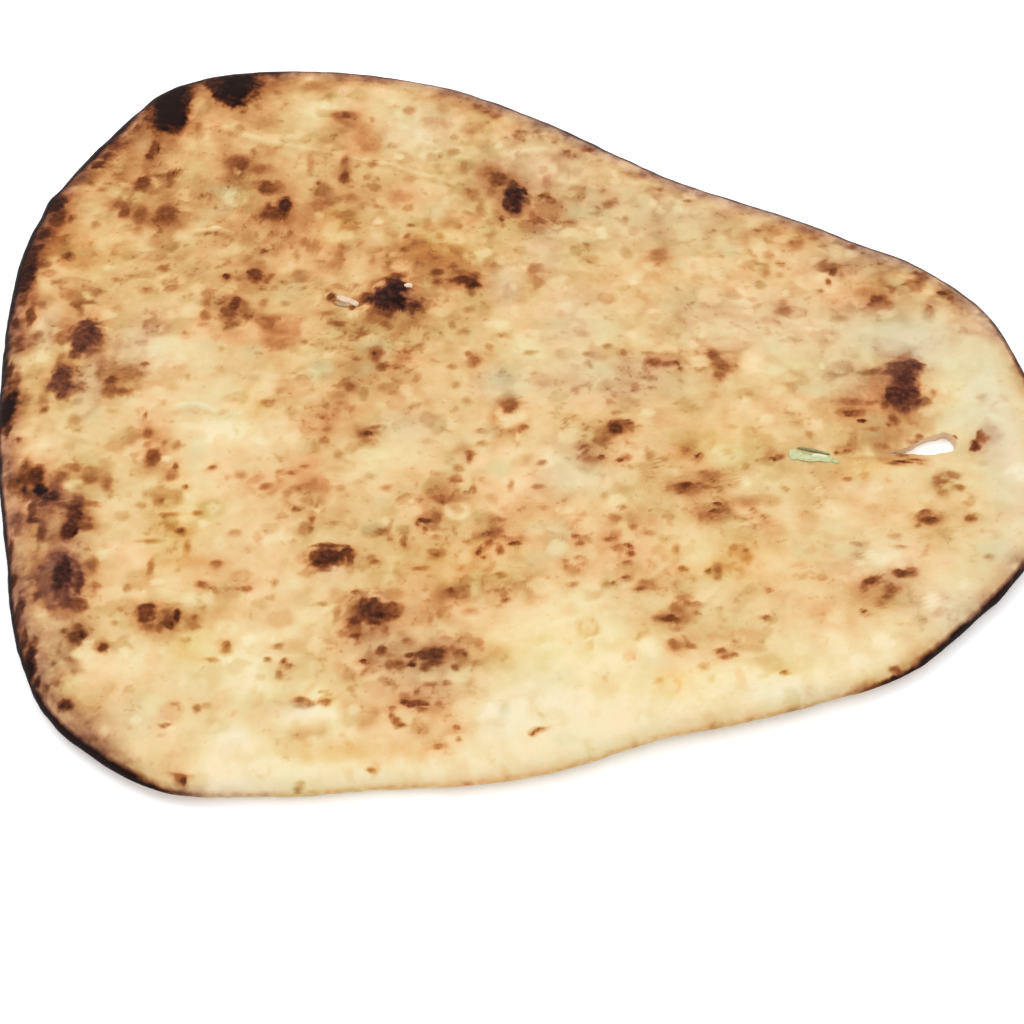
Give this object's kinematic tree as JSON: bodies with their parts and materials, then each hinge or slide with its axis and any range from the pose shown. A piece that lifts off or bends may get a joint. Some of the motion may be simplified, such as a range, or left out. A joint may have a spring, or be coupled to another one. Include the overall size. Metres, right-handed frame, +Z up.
{
  "type": "naan bread",
  "caption": "Large teardrop-shaped naan bread with browned blisters, a scorched rim and a small tear near its tip, lying on its flat underside.",
  "frame": {"origin": "middle of the bounding box, on the plane the bread lies on", "axes": "+X along the bread towards its narrow tip, +Y across it to the back, +Z up out of the browned top"},
  "size_m": [0.2842, 0.26, 0.0092],
  "materials": {
    "baked_dough": "matte baked dough, pale cream with peach-tan toasted areas, brown spots and nearly black scorched blisters and rim"
  },
  "bodies": {
    "root": {"naan_bread": "baked_dough"}
  },
  "joints": []
}
